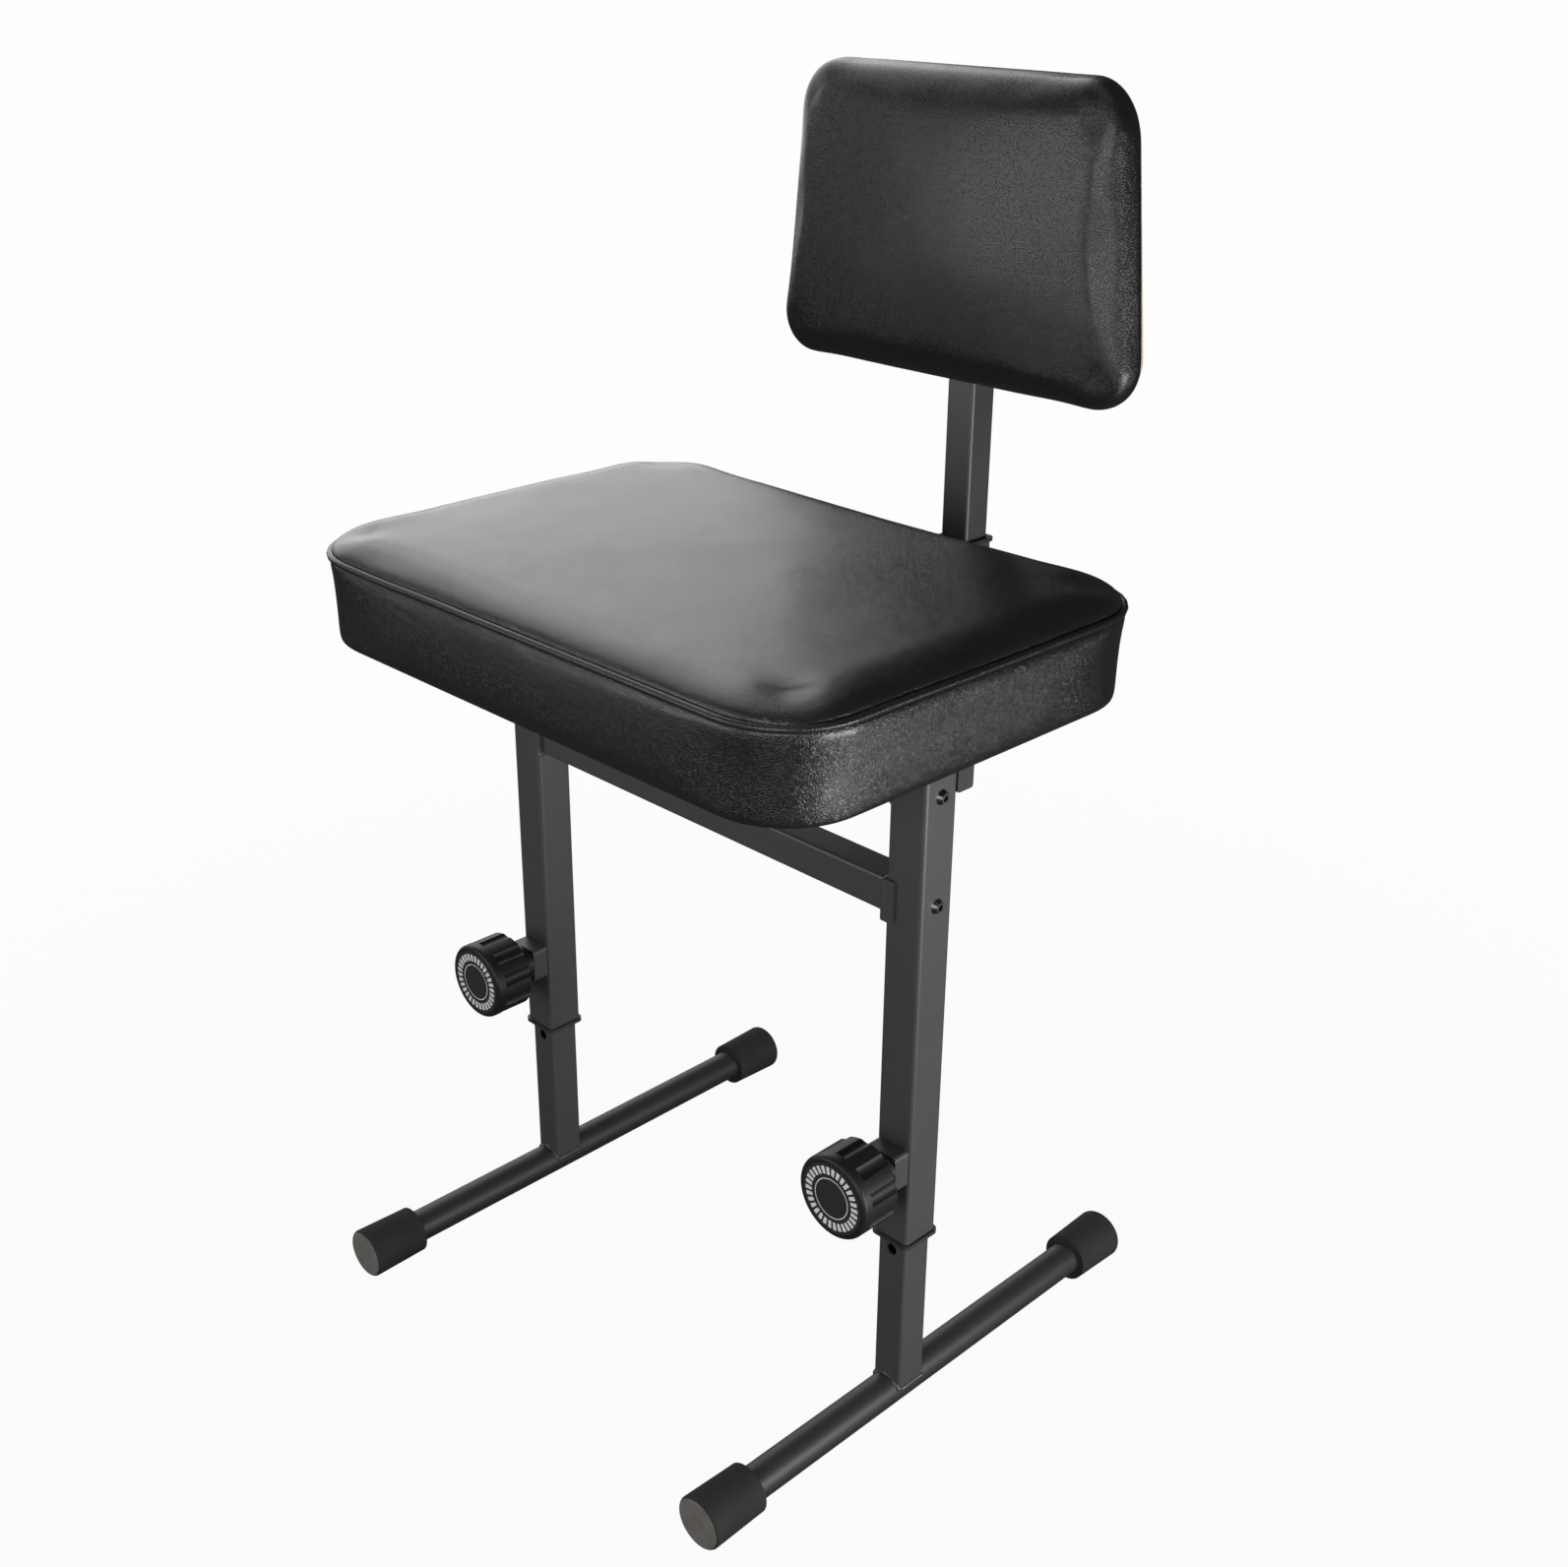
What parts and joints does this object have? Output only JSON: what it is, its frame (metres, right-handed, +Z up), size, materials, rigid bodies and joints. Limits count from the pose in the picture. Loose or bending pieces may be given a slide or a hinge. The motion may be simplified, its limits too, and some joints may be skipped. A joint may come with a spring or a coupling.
{
  "type": "folding keyboard bench",
  "caption": "Padded keyboard bench with a backrest on two telescoping legs with round floor feet, star-type locking knobs and a cross brace.",
  "frame": {"origin": "on the floor, in the middle of the whole bench's width and depth at rest", "axes": "+Z up, +X to the right as seen from in front, -Y towards the front, where a sitter's legs go"},
  "size_m": [0.483, 0.5332, 0.8885],
  "materials": {
    "black_steel": "satin",
    "black_plastic": "matte",
    "rubber": "matte",
    "knob_plastic": "matte",
    "disc_plastic": "satin",
    "zinc": "satin",
    "plywood": "matte",
    "vinyl": "satin",
    "piping": "satin",
    "foam": "matte"
  },
  "bodies": {
    "left_foot": {"left_lower_leg": "black_steel", "left_leg_glide": "black_plastic", "left_foot_tube": "black_steel", "left_foot_cap_front": "rubber", "left_foot_cap_back": "rubber"},
    "frame": {"left_upper_leg": "black_steel", "left_leg_collar": "black_plastic", "left_brace_saddle": "black_steel", "left_rail_tab": "black_steel", "left_seat_plate": "black_steel", "left_knob_boss": "black_steel", "left_knob_spring": "zinc", "right_upper_leg": "black_steel", "right_leg_collar": "black_plastic", "right_brace_saddle": "black_steel", "right_rail_tab": "black_steel", "right_seat_plate": "black_steel", "right_knob_boss": "black_steel", "right_knob_spring": "zinc", "cross_brace": "black_steel", "rear_rail": "black_steel", "rail_end_caps": "black_plastic", "leg_bolts": "zinc", "leg_weld_nuts": "zinc", "seat_screws": "zinc", "seat_tee_nuts": "zinc", "seat_board": "plywood", "seat_cover": "vinyl", "seat_foam": "foam", "seat_piping": "piping", "backrest_arm": "black_steel", "arm_seat_plate": "black_steel", "backrest_receiver": "black_steel", "receiver_collar": "black_plastic", "back_knob_boss": "black_steel", "back_knob_spring": "zinc"},
    "right_foot": {"right_lower_leg": "black_steel", "right_leg_glide": "black_plastic", "right_foot_tube": "black_steel", "right_foot_cap_front": "rubber", "right_foot_cap_back": "rubber"},
    "backrest": {"back_post": "black_steel", "post_plugs": "black_plastic", "back_plate": "black_steel", "back_screws": "zinc", "back_tee_nuts": "zinc", "back_board": "plywood", "back_cover": "vinyl", "back_foam": "foam"},
    "left_pin": {"left_knob_pin": "zinc"},
    "left_knob": {"left_knob": "knob_plastic", "left_knob_disc": "disc_plastic"},
    "right_pin": {"right_knob_pin": "zinc"},
    "right_knob": {"right_knob": "knob_plastic", "right_knob_disc": "disc_plastic"},
    "back_pin": {"back_knob_pin": "zinc"},
    "back_knob": {"back_knob": "knob_plastic", "back_knob_disc": "disc_plastic"}
  },
  "joints": [
    {"name": "seat_height", "type": "slide", "parent": "left_foot", "child": "frame", "axis": [0, 0, 1], "range_m": [-0.075, 0.075]},
    {"name": "right_leg_slide", "type": "slide", "parent": "frame", "child": "right_foot", "axis": [0, 0, 1], "range_m": [-0.075, 0.075]},
    {"name": "backrest_height", "type": "slide", "parent": "frame", "child": "backrest", "axis": [0, 0, 1], "range_m": [-0.075, 0.075]},
    {"name": "left_pull", "type": "slide", "parent": "frame", "child": "left_pin", "axis": [0, -1, 0], "range_m": [0, 0.006], "stiffness_N_per_m": 2000, "springref_m": -0.005, "deforming": ["left_knob_spring"]},
    {"name": "left_turn", "type": "hinge", "parent": "left_pin", "child": "left_knob", "pos_m": [-0.1933, -0.08535, 0.2165], "axis": [0, -1, 0], "continuous": true},
    {"name": "right_pull", "type": "slide", "parent": "frame", "child": "right_pin", "axis": [0, -1, 0], "range_m": [0, 0.006], "stiffness_N_per_m": 2000, "springref_m": -0.005, "deforming": ["right_knob_spring"]},
    {"name": "right_turn", "type": "hinge", "parent": "right_pin", "child": "right_knob", "pos_m": [0.1933, -0.08535, 0.2165], "axis": [0, -1, 0], "continuous": true},
    {"name": "back_pull", "type": "slide", "parent": "frame", "child": "back_pin", "axis": [0, 1, 0], "range_m": [0, 0.006], "stiffness_N_per_m": 2000, "springref_m": -0.005, "deforming": ["back_knob_spring"]},
    {"name": "back_turn", "type": "hinge", "parent": "back_pin", "child": "back_knob", "pos_m": [0, 0.20665, 0.489], "axis": [0, 1, 0], "continuous": true}
  ],
  "couplings": [
    {"joint": "right_leg_slide", "follows": "seat_height", "ratio": -1}
  ]
}
